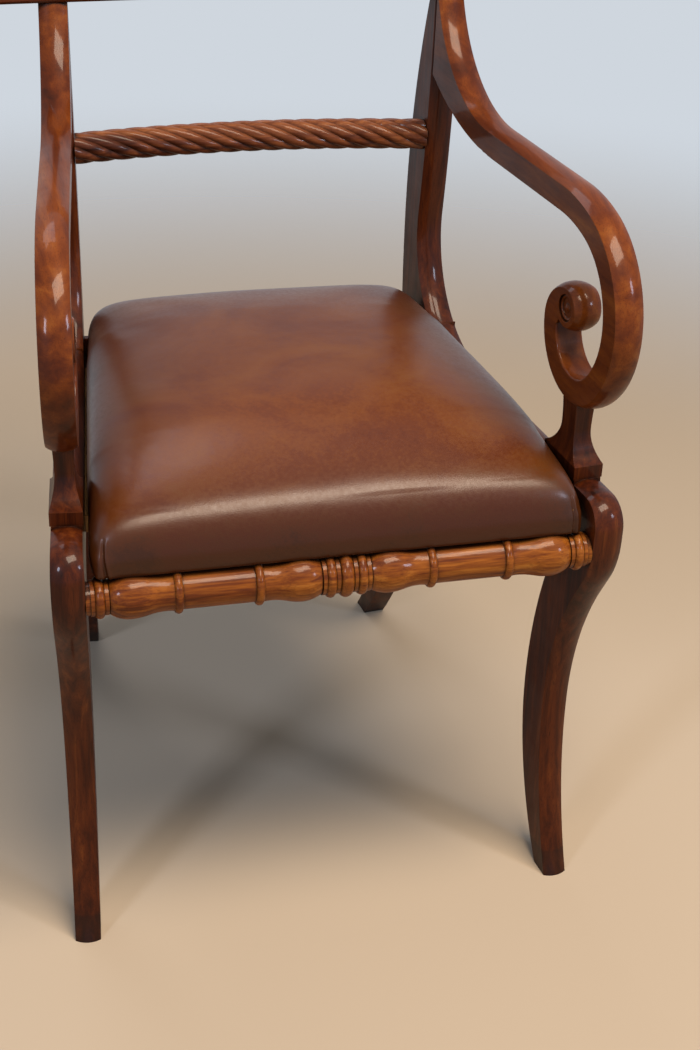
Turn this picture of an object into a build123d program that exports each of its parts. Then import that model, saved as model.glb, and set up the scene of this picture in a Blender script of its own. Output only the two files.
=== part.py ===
from build123d import *
import math
import os

# Carver chair in millimetres. +Z is up and the chair faces -Y.
# Each side of the frame stands in an upright plane, and the two planes close in towards the back.
# Side pieces are drawn in that plane: depth from the front toe, height from the floor, and
# thickness outwards. Left and right are as seen from the front of the chair.

# Plan
front_half_width = 237.8
side_taper = 0.1125
side_thick = 28.0

# Seat rails
leg_top = 446.0
rail_step = 8.0
rail_bottom = 398.0
rail_tenon_thick = 10.0
rail_tenon_rise = 8.0
rail_tenon_height = 24.0
rail_tenon_reach = 22.0
rear_rail_front = 409.0
rear_rail_thick = 32.0
rear_rail_lip = 7.0
rear_tenon_inset = 4.0
joint_clearance = 0.15

# Front legs
knee_thick = 28.6
neck_thick = 26.4
foot_thick = 24.2
knee_front = -25.0
shoulder_radius = 29.0
knee_height = 405.0
knee_radius = 95.0
knee_turn = 30.0
calf_height = 191.0
calf_front = 38.5
calf_back = 83.5
foot_depth = 26.0
hock_radius = 450.0
hock_rise = 168.0
leg_crown = 5.0

# Back posts
rear_toe = 520.0
rear_foot_depth = 26.0
rear_foot_thick = 25.0
rear_bracket = 24.0
rear_shank_front = 395.0
rear_shank_back = 443.0
post_joint = 366.0
stile_front = 400.0
stile_top_depth = 15.0
stile_bow_start = 757.0
stile_bow_radius = 1540.0
stile_bow_turn = 7.2
stile_back_bulge = 452.0
stile_bulge_height = 558.0
stile_crown = 4.5

# Arms
arm_thick = 26.8
arm_rise = 256.0
arm_depth = 28.0
arm_front = 106.0
arm_sweep_start = 262.0
arm_sweep_radius = 140.0
arm_sweep_turn = 66.0
arm_under_start = 252.0
arm_under_radius = 303.0
scroll_lead_radius = 168.0
scroll_front_radius = 100.0
scroll_foot_radius = 64.0
scroll_back_radius = 42.0
scroll_turns = (19.7, 112.8, 137.5, 90.0)
boss_radius = 22.0
arm_crown = 4.5
arm_under_round = 2.0
eye_radius = 12.5
eye_bead_radius = 9.0
eye_button_radius = 4.5
eye_depth = 3.0
arm_screw_height = 746.0
arm_screw_radius = 2.2
arm_screw_head_radius = 4.0
arm_screw_head_height = 4.0
arm_screw_grip = 14.0
pellet_radius = 4.6

# Arm stumps
stump_depth_at = 59.5
plinth_depth = 62.0
plinth_thick = 28.6
plinth_height = 13.0
stump_waist_height = 27.0
stump_waist_depth = 25.0
stump_waist_thick = 16.7
stump_top_depth = 28.0
stump_top_thick = 21.0
dowel_radius = 4.5
dowel_reach = 16.0
dowel_gap = 2.0

# Turned front rail: places are distances from the middle of the rail
turn_depth = -7.5
turn_height = 394.5
bead_radius = 21.3
bead_width = 12.4
side_bead_radius = 20.6
side_bead_width = 8.6
band_width = 3.4
band_radius = 17.7
quirk_radius = 16.2
ring_radius = 20.8
ring_width = 7.4
ring_inner_at = 77.0
ring_outer_at = 147.0
barrel_radius = 17.4
neck_radius = 18.0
neck_reach = 10.5
vase_inner_at = 39.0
vase_outer_at = 188.0
vase_outer_end = 206.0
collar_width = 8.6
collar_radius = 18.6
end_band_radius = 15.8
end_quirk_radius = 14.6
turn_tenon_radius = 10.0
turn_tenon_reach = 18.0

# Rope-twist back rail
rope_radius = 15.3
rope_groove_radius = 12.9
rope_strands = 7
rope_lead = 153.0
rope_bow = 17.0
rope_depth = 417.0
rope_height = 648.5
rope_step = 15.0
rope_tenon_radius = 8.0
rope_tenon_reach = 16.0

# Crest rail
crest_bottom = 795.0
crest_height = 80.0
crest_thick = 29.0
crest_overhang = 47.0
crest_front = 386.0
crest_bow = 8.0
crest_top_round = 11.0
crest_edge_round = 3.0
crest_tenon_depth = 8.0
crest_tenon_width = 18.0
crest_tenon_height = 25.0

# Seat bearers, corner blocks and screws
bearer_thick = 18.0
bearer_height = 17.0
bearer_screw_count = 4
block_leg = 46.0
block_nose = 11.5
block_height = 15.0
block_screw_at = 27.0
block_screw_sink = 18.5
block_screw_bite = 25.0
screw_radius = 2.0
screw_head_radius = 4.0
screw_head_height = 2.5
screw_bite = 14.0

# Drop-in seat
seat_side_gap = 1.4
seat_rest_gap = 0.3
seat_front = -18.0
seat_corner = 18.0
leather = 1.5
hem_width = 34.0
pad_height = 88.0
pad_tilt = 1.1
pad_tuck = 3.0
pad_bulge = 32.0
pad_side_rings = 2
pad_top_rings = 8
pad_crown_share = 0.84
pad_lift = 4.0
pad_fullness = 2.5
seat_bar_inset = 5.0
seat_bar_width = 46.0
seat_bar_height = 20.0
seat_tenon_reach = 24.0
seat_tenon_width = 26.0
seat_tenon_height = 8.0
web_width = 50.0
web_thick = 1.4
web_count = 3
web_lap = 26.0
hessian_thick = 0.7
layer_gap = 0.2
cloth_thick = 0.6
cloth_inset = 24.0
tack_radius = 3.0
tack_height = 0.9
tack_inset = 28.0
tack_pitch = 62.0

# Places that follow from the sizes above
slant = math.hypot(1, side_taper)
rail_top = leg_top - rail_step
arm_top = leg_top + arm_rise
side_half = side_thick / 2
knee_half = knee_thick / 2
hock_angle = math.asin(hock_rise / hock_radius)
bracket_start = (calf_back - hock_radius * (1 - math.cos(hock_angle)),
                 calf_height + hock_rise)
bracket_radius = (rail_bottom - bracket_start[1]) / (1 + math.sin(hock_angle))
plinth_front = stump_depth_at - plinth_depth / 2
shoulder_start = knee_front + shoulder_radius
plinth_back = stump_depth_at + plinth_depth / 2
leg_joint = plinth_back + rail_step
bow_angle = math.radians(stile_bow_turn)
swoop_start = (stile_front + stile_bow_radius * (1 - math.cos(bow_angle)),
               stile_bow_start - stile_bow_radius * math.sin(bow_angle))
swoop_radius = (swoop_start[1] - rail_top) / (1 + math.sin(bow_angle))
swoop_foot = swoop_start[0] - swoop_radius * math.cos(bow_angle)
swoop_joint = (post_joint,
               rail_top + swoop_radius - math.sqrt(swoop_radius ** 2 - (post_joint - swoop_foot) ** 2))
rail_tenon_bottom = rail_bottom + rail_tenon_rise
rail_tenon_top = rail_tenon_bottom + rail_tenon_height
arm_under = arm_top - arm_depth
stump_base = leg_top + plinth_height
seat_rest = turn_height + bead_radius + seat_rest_gap
seat_bottom = seat_rest + seat_rest_gap
seat_edge = knee_half + seat_side_gap
seat_back = rear_rail_front / slant + rear_rail_thick - rear_rail_lip - seat_side_gap
bar_bottom = seat_bottom + leather + layer_gap
bar_top = bar_bottom + seat_bar_height
web_top = bar_top + 2 * web_thick
pad_bottom = web_top + hessian_thick + layer_gap
reach_past = 1000.0
crown_skim = 0.15
crown_over = 3.0


def side_x(depth, out=0.0):
    return front_half_width + (out - side_taper * depth) / slant


def side_y(depth, out=0.0):
    return (depth + side_taper * out) / slant


crest_half_length = side_x(stile_front, side_half) + crest_overhang
right_side = Plane(origin=(front_half_width, 0, 0), x_dir=(-side_taper, 1, 0), z_dir=(1, side_taper, 0))
front_most = turn_depth - bead_radius
rear_most = side_y(rear_toe + rear_foot_depth, rear_foot_thick / 2)
home = Pos(0, -(front_most + rear_most) / 2, 0)


def board(profile, thick):
    return extrude(profile, thick / 2, both=True)


def block(x0, x1, y0, y1, z0, z1):
    return Pos((x0 + x1) / 2, (y0 + y1) / 2, (z0 + z1) / 2) * Box(x1 - x0, y1 - y0, z1 - z0)


def rod(start, end, radius):
    path = Line(start, end)
    return extrude(Plane(path @ 0, z_dir=path % 0) * Circle(radius), path.length)


def edges_along(solid, chain, reach=1.0):
    # Long edges of a side piece that follow the given stretch of its outline.
    middles = [edge.position_at(0.5) for edge in chain]
    found = []
    for edge in solid.edges():
        point = edge.position_at(0.5)
        if any(math.hypot(point.X - m.X, point.Y - m.Y) < reach for m in middles):
            found.append(edge)
    return found


def crown_profile(thick, crown):
    # What lies over a face that is rounded across: outwards is X, and the middle of the face is at 0.
    half = thick / 2
    over = Polyline((-crown, half), (crown_over, half), (crown_over, -half), (-crown, -half))
    arch = ThreePointArc((-crown, -half), (-crown_skim, 0), (-crown, half))
    return make_face([arch] + list(over.edges()))


def crowned(piece, chain, outward, thick, crown):
    # Rounds a side piece across, along a stretch of its outline. Outward is 1 where the outside of
    # the outline is on the right of the way it runs.
    profile = crown_profile(thick, crown)
    for edge in chain:
        start, way = edge @ 0, edge % 0
        across = Vector(way.Y, -way.X) * outward
        section = Plane(origin=start, x_dir=across, z_dir=way * outward) * profile
        if edge.geom_type == GeomType.LINE:
            piece -= extrude(section, edge.length, dir=way)
        else:
            piece -= swept_round(section, edge)
    return piece


def swept_round(section, arc):
    centre = arc.arc_center
    turn = (arc @ 0 - centre).cross(arc @ 0.5 - centre).Z
    axis = Axis((centre.X, centre.Y, 0), (0, 0, math.copysign(1, turn)))
    return revolve(section, axis, math.degrees(arc.length / arc.radius))


def between(piece, out):
    # The stretch of a cross piece that lies between the side planes, each moved inwards by out.
    for sign in (1, -1):
        face = Plane(origin=(sign * side_x(0, -out), side_y(0, -out), 0), z_dir=(sign, side_taper, 0))
        piece = split(piece, face, Keep.BOTTOM)
    return piece


def mirrored(piece):
    return mirror(piece, about=Plane.YZ)


def on_both_sides(piece):
    return [piece, mirrored(piece)]


def thickness_cut(low, high, edges):
    # Everything inside a front view of a side piece, from the outer edge of its right half.
    axis = Polyline(low, (0, low[1]), (0, high[1]), high)
    half = make_face(edges + list(axis.edges()))
    across = Plane(origin=(0, 0, 0), x_dir=(0, 0, 1), z_dir=(-1, 0, 0))
    return extrude(across * (half + mirror(half, about=Plane.YZ)), reach_past, both=True)


# Front legs

def leg_outline():
    brow_top = (knee_front, leg_top - shoulder_radius)
    shoulder = TangentArc((shoulder_start, leg_top), brow_top, tangent=(-1, 0))
    brow = Line(shoulder @ 1, (knee_front, knee_height))
    knee = JernArc(brow @ 1, (0, -1), knee_radius, knee_turn)
    turn = math.radians(knee_turn)
    end = knee @ 1
    rise = (end.X - calf_front) * math.cos(turn) + (end.Y - calf_height) * math.sin(turn)
    calf_radius = rise / (1 - math.cos(turn))
    calf_start = (calf_front - calf_radius * (1 - math.cos(turn)),
                  calf_height + calf_radius * math.sin(turn))
    thigh = Line(end, calf_start)
    calf = TangentArc(calf_start, (calf_front, calf_height), tangent=knee % 1)
    shin = TangentArc((calf_front, calf_height), (0, 0), tangent=(0, -1))
    sole = Line((0, 0), (foot_depth, 0))
    heel = TangentArc((calf_back, calf_height), (foot_depth, 0), tangent=(0, -1))
    hock_turn = math.degrees(hock_angle)
    hock = JernArc((calf_back, calf_height), (0, 1), hock_radius, hock_turn)
    bracket = JernArc(hock @ 1, hock % 1, bracket_radius, -(90 + hock_turn))
    joint = Polyline(bracket @ 1, (leg_joint, rail_bottom), (leg_joint, rail_top))
    cove = TangentArc((leg_joint, rail_top), (plinth_back, leg_top), tangent=(-1, 0))
    crown = Line(cove @ 1, shoulder @ 0)
    front = [shoulder, brow, knee, thigh, calf, shin]
    return front, make_face(front + [sole, heel, hock, bracket, cove, crown] + list(joint.edges()))


def front_leg():
    front, outline = leg_outline()
    foot = (foot_thick / 2, 0)
    neck = (neck_thick / 2, leg_top)
    widest = (knee_half, knee_height)
    flare = Line(foot, widest)
    edges = [flare, TangentArc(widest, neck, tangent=flare % 1)]
    # The front is rounded across from the stump's plinth down to the toe.
    front = [Line((plinth_front, leg_top), front[0] @ 0)] + front
    leg = crowned(board(outline, knee_thick), front, 1, knee_thick, leg_crown)
    return leg & thickness_cut(foot, neck, edges)


# Back posts

def post_outline():
    top = Line((stile_front, crest_bottom), (stile_front, stile_bow_start))
    bow = TangentArc(top @ 1, swoop_start, tangent=(0, -1))
    swoop = TangentArc(swoop_start, swoop_joint, tangent=bow % 1)
    corner = (post_joint, rail_bottom)
    bracket_at = (rear_shank_front - rear_bracket, rail_bottom)
    shank_top = (rear_shank_front, rail_bottom - rear_bracket)
    joint = Polyline(swoop_joint, corner, bracket_at)
    bracket = TangentArc(bracket_at, shank_top, tangent=(1, 0))
    sabre = TangentArc(shank_top, (rear_toe, 0), tangent=(0, -1))
    sole = Line((rear_toe, 0), (rear_toe + rear_foot_depth, 0))
    bulge = (stile_back_bulge, stile_bulge_height)
    waist = TangentArc(bulge, (rear_shank_back, rail_bottom), tangent=(0, -1))
    calf = TangentArc(waist @ 1, sole @ 1, tangent=waist % 1)
    back = TangentArc(bulge, (stile_front + stile_top_depth, crest_bottom), tangent=(0, 1))
    crown = Line(back @ 1, top @ 0)
    front = [top, bow, swoop]
    edges = front + list(joint.edges()) + [bracket, sabre, sole, calf, waist, back, crown]
    return front, make_face(edges)


def crest_tenon(slack=0.0):
    middle = stile_front + stile_top_depth / 2
    half = crest_tenon_depth / 2 + slack
    wide = crest_tenon_width / 2 + slack
    high = crest_bottom + crest_tenon_height + slack
    return block(middle - half, middle + half, crest_bottom - slack, high, -wide, wide)


def back_post():
    front, outline = post_outline()
    foot = (rear_foot_thick / 2, 0)
    top = (arm_thick / 2, crest_bottom)
    edges = list(Polyline(foot, (side_half, rail_bottom), top).edges())
    post = crowned(board(outline, side_thick), front, 1, side_thick, stile_crown)
    return (post & thickness_cut(foot, top, edges)) + crest_tenon()


# Side rails of the seat, tenoned into the leg and the post

def side_tenon(joint, sign, slack=0.0):
    ends = sorted((joint - sign * slack, joint + sign * (rail_tenon_reach + slack)))
    half = rail_tenon_thick / 2 + slack
    return block(*ends, rail_tenon_bottom - slack, rail_tenon_top + slack, -half, half)


def side_rail():
    swoop = TangentArc((swoop_foot, rail_top), swoop_joint, tangent=(1, 0))
    rest = Polyline(swoop_joint, (post_joint, rail_bottom), (leg_joint, rail_bottom),
                    (leg_joint, rail_top), (swoop_foot, rail_top))
    rail = board(make_face([swoop] + list(rest.edges())), side_thick)
    top = [Line((leg_joint, rail_top), (swoop_foot, rail_top)), swoop]
    rail = crowned(rail, top, -1, side_thick, stile_crown)
    return rail + side_tenon(leg_joint, -1) + side_tenon(post_joint, 1)


# Scroll arms

def scroll(start, inset, count):
    arcs = []
    point, heading = Vector(*start), Vector(-1, 0)
    radii = (scroll_lead_radius, scroll_front_radius, scroll_foot_radius, scroll_back_radius)
    for radius, turn in list(zip(radii, scroll_turns))[:count]:
        arc = JernArc(point, heading, radius - inset, turn)
        arcs.append(arc)
        point, heading = arc @ 1, arc % 1
    return arcs


outer_scroll = scroll((arm_front, arm_top), 0, 4)
boss_centre = outer_scroll[-1] @ 1 - Vector(0, boss_radius)
scroll_foot = min(arc.bounding_box().min.Y for arc in outer_scroll)


def arm_outline():
    sweep = JernArc((arm_sweep_start, arm_top), (1, 0), arm_sweep_radius, arm_sweep_turn)
    heading = sweep % 1
    run = (crest_bottom - (sweep @ 1).Y) / heading.Y
    lead = Line(sweep @ 1, sweep @ 1 + heading * run)
    level = Line((arm_front, arm_top), (arm_sweep_start, arm_top))
    inner = scroll((arm_front, arm_under), arm_depth, 3)
    belly = Line((arm_front, arm_under), (arm_under_start, arm_under))
    seat = stile_front + stile_top_depth
    under_turn = math.degrees(math.asin((seat - arm_under_start) / arm_under_radius))
    under = JernArc((arm_under_start, arm_under), (1, 0), arm_under_radius, under_turn)
    back = Polyline(under @ 1, (seat, crest_bottom), lead @ 1)
    close = Polyline(outer_scroll[-1] @ 1, boss_centre, inner[-1] @ 1)
    top = [lead, sweep, level]
    below = inner + [belly, under]
    edges = top + outer_scroll + below + list(back.edges()) + list(close.edges())
    return top, below, make_face(edges) - post_outline()[1]


def scroll_eye():
    # Turned ring, quirk and button sunk in the face of the scroll's boss.
    face = arm_thick / 2
    floor = face - eye_depth
    quirk = (eye_radius + eye_bead_radius) / 2
    rim = Line((0, face + eye_depth), (eye_radius, face + eye_depth))
    wall = Line(rim @ 1, (eye_radius, floor))
    bead = ThreePointArc((eye_radius, floor), (quirk, floor + eye_depth / 2), (eye_bead_radius, floor))
    flat = Line((eye_bead_radius, floor), (eye_button_radius, floor))
    button = TangentArc((0, face - eye_depth / 3), (eye_button_radius, floor), tangent=(1, 0))
    axis = Line((0, face - eye_depth / 3), (0, face + eye_depth))
    profile = Plane.XZ * make_face([rim, wall, bead, flat, button, axis])
    return revolve(profile, Axis.Z)


def scroll_arm():
    top, below, outline = arm_outline()
    arm = board(outline, arm_thick)
    arm = fillet(edges_along(arm, below[:-1]), arm_under_round)
    arm = crowned(arm, top, -1, arm_thick, arm_crown)
    arm = crowned(arm, outer_scroll, 1, arm_thick, arm_crown)
    half = arm_thick / 2
    rim = ThreePointArc((boss_radius - arm_crown, -half), (boss_radius - crown_skim, 0),
                        (boss_radius - arm_crown, half))
    disc = make_face([rim] + list(Polyline(rim @ 1, (0, half), (0, -half), rim @ 0).edges()))
    arm += Pos(*boss_centre) * revolve(Plane.XZ * disc, Axis.Z)
    for face in (Rot(0, 0, 0), Rot(180, 0, 0)):
        arm -= Pos(*boss_centre) * face * scroll_eye()
    return arm


def arm_screw(slack=0.0):
    back = stile_front + stile_top_depth
    tip = stile_front - arm_screw_grip
    shank = rod((tip - slack, arm_screw_height), (back, arm_screw_height), arm_screw_radius + slack)
    head_at = back - arm_screw_head_height
    return shank + rod((head_at - slack, arm_screw_height), (back + slack, arm_screw_height),
                       arm_screw_head_radius + slack)


def pellet(slack=0.0):
    back = stile_front + stile_top_depth - slack
    return rod((back, arm_screw_height), (back + reach_past, arm_screw_height), pellet_radius + slack)


# Arm stumps

def stump_view(base, waist, top, high):
    # Half of one view of the stump: a hollow flare from the plinth to the waist, and on to the arm.
    waist_at = (waist / 2, stump_base + stump_waist_height)
    flare = TangentArc(waist_at, (base / 2, stump_base), tangent=(0, -1))
    neck = TangentArc(waist_at, (top / 2, high), tangent=(0, 1))
    rest = Polyline((top / 2, high), (0, high), (0, leg_top), (base / 2, leg_top),
                    (base / 2, stump_base))
    half = make_face([flare, neck] + list(rest.edges()))
    return half + mirror(half, about=Plane.YZ)


def arm_stump(arm):
    high = scroll_foot + arm_depth / 2
    side = Pos(stump_depth_at, 0) * stump_view(plinth_depth, stump_waist_depth, stump_top_depth, high)
    front = stump_view(plinth_thick, stump_waist_thick, stump_top_thick, high)
    across = Plane(origin=(0, 0, 0), x_dir=(0, 0, 1), z_dir=(-1, 0, 0)) * front
    stump = board(side, 2 * plinth_thick) & extrude(across, reach_past, both=True)
    keep = block(-reach_past, reach_past, 0, boss_centre.Y, -reach_past, reach_past)
    return (stump & keep) - Pos(0, -joint_clearance, 0) * arm


def stump_dowels(slack=0.0):
    # Upright dowels: stump into arm, then stump into leg, where it stops above the rail's tenon.
    spans = ((scroll_foot - dowel_reach, scroll_foot + dowel_reach),
             (rail_tenon_top + dowel_gap, stump_base + dowel_reach / 2))
    pins = []
    for low, high in spans:
        start, end = (stump_depth_at, low - slack), (stump_depth_at, high + slack)
        pins.append(rod(start, end, dowel_radius + slack))
    return pins


# Turned front rail

def bead(start, width, radius, base):
    return ThreePointArc((start, base), (start + width / 2, radius), (start + width, base))


def band(start, width, radius, base):
    end = start + width
    return list(Polyline((start, base), (start, radius), (end, radius), (end, base)).edges())


def vase(foot, neck, crown, shoulder):
    # Ogee from the ring over the neck up to the crown, then the round shoulder.
    onward = (math.copysign(1, crown[0] - neck[0]), 0)
    return_way = (-onward[0], 0)
    middle = ((neck[0] + crown[0]) / 2, (neck[1] + crown[1]) / 2)
    return [TangentArc(neck, foot, tangent=return_way), TangentArc(neck, middle, tangent=onward),
            TangentArc(crown, middle, tangent=return_way), TangentArc(crown, shoulder, tangent=onward)]


def ring_and_vase(ring_at, vase_at, vase_end, end_radius):
    # Small ring with the barrel on its one side and a vase on the other, towards vase_end.
    onward = math.copysign(1, vase_at - ring_at)
    barrel_edge = (ring_at - onward * ring_width / 2, barrel_radius)
    vase_edge = (ring_at + onward * ring_width / 2, neck_radius)
    ring = ThreePointArc(barrel_edge, (ring_at, ring_radius), vase_edge)
    foot = (ring_at + onward * ring_width / 2, neck_radius)
    neck = (ring_at + onward * neck_reach, barrel_radius)
    return barrel_edge, [ring] + vase(foot, neck, (vase_at, bead_radius), (vase_end, end_radius))


def front_rail_half():
    centre = TangentArc((0, bead_radius), (bead_width / 2, quirk_radius), tangent=(1, 0))
    side_bead_at = bead_width / 2 + band_width
    vase_inner_end = side_bead_at + side_bead_width + band_width
    middle = [centre] + band(bead_width / 2, band_width, band_radius, quirk_radius)
    middle.append(bead(side_bead_at, side_bead_width, side_bead_radius, quirk_radius))
    middle += band(side_bead_at + side_bead_width, band_width, band_radius, quirk_radius)
    inner_edge, inner = ring_and_vase(ring_inner_at, vase_inner_at, vase_inner_end, quirk_radius)
    outer_edge, outer = ring_and_vase(ring_outer_at, vase_outer_at, vase_outer_end, end_quirk_radius)
    barrel = Line(inner_edge, outer_edge)
    collar_at = vase_outer_end + band_width
    last = collar_at + collar_width
    end = band(vase_outer_end, band_width, end_band_radius, end_quirk_radius)
    end.append(bead(collar_at, collar_width, collar_radius, end_quirk_radius))
    end += band(last, band_width, end_band_radius, end_quirk_radius)
    close = Polyline((last + band_width, end_quirk_radius), (front_half_width, end_quirk_radius),
                     (front_half_width, 0), (0, 0), (0, bead_radius))
    return make_face(middle + inner + [barrel] + outer + end + list(close.edges()))


def turned_tenon(slack=0.0):
    long = rod((-reach_past, turn_depth, turn_height), (reach_past, turn_depth, turn_height),
               turn_tenon_radius + slack)
    return between(long, knee_half - turn_tenon_reach - slack)


def front_rail():
    half = revolve(front_rail_half(), Axis.X)
    turned = Pos(0, turn_depth, turn_height) * (half + mirrored(half))
    return between(turned, knee_half + joint_clearance) + turned_tenon()


# Rope-twist back rail, bowed backwards

def rope_section():
    arcs = []
    step = 2 * math.pi / rope_strands
    for strand in range(rope_strands):
        points = []
        for share, radius in ((-0.5, rope_groove_radius), (0, rope_radius), (0.5, rope_groove_radius)):
            angle = (strand + share) * step
            points.append((radius * math.cos(angle), radius * math.sin(angle)))
        arcs.append(ThreePointArc(*points))
    return make_face(arcs)


def rope_tenon(slack=0.0):
    # Round pins at both ends. They start inside the rope so that bow and pin overlap.
    middle = side_y(rope_depth)
    start = side_x(rope_depth, -side_thick)
    pins = Part()
    for sign in (1, -1):
        pins += rod((sign * start, middle, rope_height), (sign * reach_past, middle, rope_height),
                    rope_tenon_radius + slack)
    return between(pins, side_half - rope_tenon_reach - slack)


def rope_rail():
    half = side_x(rope_depth, -side_half)
    bow_radius = (half ** 2 + rope_bow ** 2) / (2 * rope_bow)
    reach = math.asin((half + side_half) / bow_radius)
    steps = math.ceil(2 * reach * bow_radius / rope_lead * 360 / rope_step)
    section = rope_section()
    sections = []
    for index in range(steps + 1):
        angle = reach * (2 * index / steps - 1)
        twist = 360 * angle * bow_radius / rope_lead
        place = (bow_radius * math.sin(angle),
                 side_y(rope_depth) + rope_bow - bow_radius * (1 - math.cos(angle)), rope_height)
        across = Plane(origin=place, x_dir=(0, 0, 1), z_dir=(math.cos(angle), -math.sin(angle), 0))
        sections.append(across * Rot(0, 0, twist) * section)
    return between(loft(sections), side_half) + rope_tenon()


# Crest rail, which stands on the stiles and overhangs them

def crest_rail(tenons):
    front = ThreePointArc((-crest_half_length, crest_front), (0, crest_front + crest_bow),
                          (crest_half_length, crest_front))
    back = Pos(0, crest_thick) * front
    ends = [Line(front @ 0, back @ 0), Line(front @ 1, back @ 1)]
    plan = make_face([front, *back.edges(), *ends])
    rail = extrude(Pos(0, 0, crest_bottom) * plan, crest_height)
    long_edges = [edge for edge in rail.edges() if edge.length > crest_half_length]
    top = [edge for edge in long_edges if edge.center().Z > crest_bottom + crest_height / 2]
    rail = fillet(top, crest_top_round)
    long_edges = [edge for edge in rail.edges() if edge.length > crest_half_length]
    low = [edge for edge in long_edges if edge.center().Z < crest_bottom + crest_edge_round]
    return fillet(low, crest_edge_round) - tenons


# Rear seat rail, rebated for the seat

def rear_tenon(slack=0.0):
    depth = rear_rail_front + rear_rail_thick / 2
    half = rail_tenon_thick / 2 + slack
    long = block(-front_half_width, front_half_width, side_y(depth) - half, side_y(depth) + half,
                 rail_bottom + rear_tenon_inset - slack, seat_rest - rear_tenon_inset + slack)
    return between(long, side_half - rail_tenon_reach / 2 - slack)


def rear_rail():
    front = side_y(rear_rail_front)
    back = front + rear_rail_thick
    body = block(-front_half_width, front_half_width, front, back, rail_bottom, rail_top)
    rebate = block(-front_half_width, front_half_width, 0, back - rear_rail_lip, seat_rest, reach_past)
    return between(body - rebate, side_half) + rear_tenon()


# Seat bearers inside the side rails, with their screws

bearer_start = leg_joint + joint_clearance
bearer_end = rear_rail_front + side_taper * side_half - joint_clearance


def bearer_screw_depths():
    first = leg_joint + block_leg / 2
    last = post_joint - block_leg / 2
    step = (last - first) / (bearer_screw_count - 1)
    return [first + index * step for index in range(bearer_screw_count)]


def screw(head, direction, bite, slack=0.0):
    start, along = Vector(*head), Vector(*direction)
    tip = start + along * (bite + slack)
    under_head = start + along * (screw_head_height + slack)
    return rod(start, tip, screw_radius + slack) + rod(start, under_head, screw_head_radius + slack)


def screw_hole(head, direction, bite):
    # Counterbored, so that the head can be driven below the face.
    start, along = Vector(*head), Vector(*direction)
    counterbore = rod(start - along * block_leg, start, screw_head_radius + joint_clearance)
    return screw(head, direction, bite, joint_clearance) + counterbore


def bearer_screws(make=screw):
    height = seat_rest - bearer_height / 2
    head = -side_half - bearer_thick
    return [make((depth, height, head), (0, 0, 1), bearer_thick + screw_bite)
            for depth in bearer_screw_depths()]


def seat_bearer():
    low = seat_rest - bearer_height
    bearer = block(bearer_start, bearer_end, low, seat_rest, -side_half - bearer_thick, -side_half)
    for hole in bearer_screws(screw_hole):
        bearer -= hole
    return bearer


def block_corner():
    face = side_y(rear_rail_front)
    inside = side_half + bearer_thick
    wall = front_half_width - side_taper * face - inside * slant
    return wall, face


def corner_block():
    wall, face = block_corner()
    near = face - block_leg
    far = wall + side_taper * block_leg
    end = wall - block_leg
    outline = Polyline((wall, face), (far, near), (far - block_nose, near), (end, face - block_nose),
                       (end, face), close=True)
    return extrude(Pos(0, 0, seat_rest - bearer_height) * make_face(outline), block_height)


def block_screws(make=screw):
    wall, face = block_corner()
    height = seat_rest - bearer_height + block_height / 2
    into_rail = (wall - block_screw_at, face - block_screw_sink, height)
    into_bearer = (wall - block_screw_sink, face - block_screw_at, height)
    return [make(into_rail, (0, 1, 0), block_screw_bite), make(into_bearer, (1, 0, 0), block_screw_bite)]


# Drop-in seat

def seat_half(depth, inset=0.0):
    return front_half_width - side_taper * depth - (seat_edge + inset) * slant


def seat_plan(inset):
    front = seat_front + inset
    back = seat_back - inset
    wide = seat_half(front, inset)
    narrow = seat_half(back, inset)
    outline = Polyline((-wide, front), (wide, front), (narrow, back), (-narrow, back), close=True)
    plan = make_face(outline)
    return fillet(plan.vertices(), seat_corner)


def slab(inset, low, high):
    return extrude(Pos(0, 0, low) * seat_plan(inset), high - low)


def pad_rings():
    # Heights and insets from the tucked bottom edge out to the bulge, then over to the crown.
    reach = pad_crown_share * seat_half(seat_back)
    rings = []
    for index in range(pad_side_rings):
        below = 1 - index / pad_side_rings
        rings.append((pad_bulge * (1 - below), pad_tuck * below ** 2))
    for index in range(pad_top_rings + 1):
        up = 1 - (1 - index / pad_top_rings) ** 2
        way_in = 1 - (1 - up ** pad_lift) ** (1 / pad_fullness)
        rings.append((pad_bulge + (pad_height - pad_bulge) * up, reach * way_in))
    return rings


def cushion(skin=0.0):
    # The upper rings tilt up towards the back.
    middle = (seat_front + seat_back) / 2
    sections = []
    for rise, inset in pad_rings():
        level = max(rise - skin, skin)
        tilt = Rot(pad_tilt * rise / pad_height, 0, 0)
        ring = Pos(0, middle, seat_bottom + level) * tilt * Pos(0, -middle, 0)
        sections.append(ring * seat_plan(inset + skin))
    return loft(sections, ruled=True)


def seat_leather():
    opening = slab(hem_width, seat_bottom - leather, seat_bottom + 2 * leather)
    return cushion() - cushion(leather) - opening


def seat_stuffing():
    return cushion(leather + layer_gap) & slab(0, pad_bottom, seat_bottom + 2 * pad_height)


def bar_ring():
    inner = seat_bar_inset + seat_bar_width
    return slab(seat_bar_inset, bar_bottom, bar_top) - slab(inner, bar_bottom, bar_top)


def seat_tenons(slack=0.0):
    middle = (bar_bottom + bar_top) / 2
    half_height = seat_tenon_height / 2 + slack
    half_width = seat_tenon_width / 2 + slack
    pins = []
    inner = seat_bar_inset + seat_bar_width
    for joint, sign in ((seat_front + inner, -1), (seat_back - inner, 1)):
        centre = seat_half(joint, seat_bar_inset + seat_bar_width / 2)
        ends = sorted((joint - sign * slack, joint + sign * (seat_tenon_reach + slack)))
        pins.append(block(centre - half_width, centre + half_width, *ends,
                          middle - half_height, middle + half_height))
    return pins


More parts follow.
